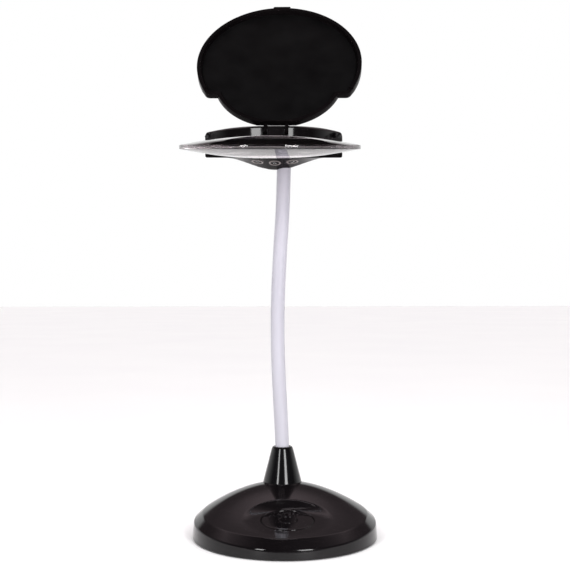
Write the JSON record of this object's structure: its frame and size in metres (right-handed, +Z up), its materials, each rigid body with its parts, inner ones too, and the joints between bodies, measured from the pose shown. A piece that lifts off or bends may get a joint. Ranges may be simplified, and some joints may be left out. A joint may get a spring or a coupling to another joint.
{
  "type": "desk magnifier lamp",
  "caption": "Free-standing magnifier lamp: weighted round base with a push button, bendable neck, round lens with small lamps and a hinged lens cover.",
  "frame": {"origin": "centre of the underside of the base's pad, on the table", "axes": "+Z up; -Y towards the user, the side with the power button; +X to the user's right"},
  "size_m": [0.1455, 0.2128, 0.4231],
  "materials": {
    "gloss_black": "polished black moulded plastic",
    "satin_black": "satin black moulded plastic",
    "pad_rubber": "fine grained foam rubber",
    "plate_steel": "zinc plated steel",
    "core_steel": "wound steel armour",
    "weight_iron": "rough cast iron",
    "contact_brass": "turned brass",
    "board_green": "green solder mask",
    "lens_acrylic": "polished clear acrylic",
    "lamp_white": "clear lamp dome over a pale phosphor",
    "bezel_grey": "satin grey plastic ring",
    "neck_silicone": "smooth satin white silicone sleeve"
  },
  "bodies": {
    "base": {"base_cover": "gloss_black", "base_plate": "plate_steel", "non_slip_pad": "pad_rubber", "base_screw_1": "plate_steel", "base_screw_2": "plate_steel", "base_screw_3": "plate_steel", "base_screw_4": "plate_steel", "base_weight": "weight_iron", "switch_board": "board_green", "push_switch": "satin_black", "power_inlet": "satin_black", "inlet_pin": "contact_brass", "neck_collar": "satin_black", "collar_nut": "plate_steel", "neck_root_sleeve": "neck_silicone", "neck_root_core": "core_steel"},
    "button": {"power_button": "gloss_black"},
    "neck_1": {"neck_1_sleeve": "neck_silicone", "neck_1_core": "core_steel"},
    "neck_2": {"neck_2_sleeve": "neck_silicone", "neck_2_core": "core_steel"},
    "neck_3": {"neck_3_sleeve": "neck_silicone", "neck_3_core": "core_steel"},
    "neck_4": {"neck_4_sleeve": "neck_silicone", "neck_4_core": "core_steel"},
    "neck_5": {"neck_5_sleeve": "neck_silicone", "neck_5_core": "core_steel"},
    "head": {"neck_end_sleeve": "neck_silicone", "neck_end_core": "core_steel", "neck_nut": "plate_steel", "housing_bottom": "gloss_black", "housing_top": "gloss_black", "lens": "lens_acrylic", "led_board": "board_green", "led_1": "lamp_white", "led_2": "lamp_white", "led_3": "lamp_white", "led_bezel_1": "bezel_grey", "led_bezel_2": "bezel_grey", "led_bezel_3": "bezel_grey", "led_window_1": "lens_acrylic", "led_window_2": "lens_acrylic", "led_window_3": "lens_acrylic", "housing_screw_1": "plate_steel", "housing_screw_2": "plate_steel", "housing_screw_3": "plate_steel", "housing_screw_4": "plate_steel", "hinge_pin": "plate_steel", "lid_buffer_left": "pad_rubber", "lid_buffer_right": "pad_rubber"},
    "lid": {"lid_cover": "gloss_black", "lid_liner": "satin_black"}
  },
  "joints": [
    {"name": "neck_bend_1", "type": "hinge", "parent": "base", "child": "neck_1", "pos_m": [-0.00085, 0.03125, 0.07915], "axis": [1, 0, 0], "range_deg": [-25, 25]},
    {"name": "neck_bend_2", "type": "hinge", "parent": "neck_1", "child": "neck_2", "pos_m": [-0.00263, 0.03083, 0.11321], "axis": [0, 1, 0], "range_deg": [-25, 25]},
    {"name": "neck_bend_3", "type": "hinge", "parent": "neck_2", "child": "neck_3", "pos_m": [-0.00378, 0.03034, 0.1473], "axis": [1, 0, 0], "range_deg": [-25, 25]},
    {"name": "neck_bend_4", "type": "hinge", "parent": "neck_3", "child": "neck_4", "pos_m": [-0.00341, 0.0297, 0.18139], "axis": [0, 1, 0], "range_deg": [-25, 25]},
    {"name": "neck_bend_5", "type": "hinge", "parent": "neck_4", "child": "neck_5", "pos_m": [-0.00178, 0.02897, 0.21546], "axis": [1, 0, 0], "range_deg": [-25, 25]},
    {"name": "neck_bend_6", "type": "hinge", "parent": "neck_5", "child": "head", "pos_m": [0.00015, 0.02829, 0.2495], "axis": [0, 1, 0], "range_deg": [-25, 25]},
    {"name": "lid_hinge", "type": "hinge", "parent": "head", "child": "lid", "pos_m": [-0.00546, 0.02353, 0.30657], "axis": [0.9935, -0.1132, -0.007], "range_deg": [0, 133.2]},
    {"name": "button_press", "type": "slide", "parent": "base", "child": "button", "axis": [0, 0.1305, -0.9914], "range_m": [0, 0.0015], "stiffness_N_per_m": 900, "springref_m": -0.001}
  ]
}
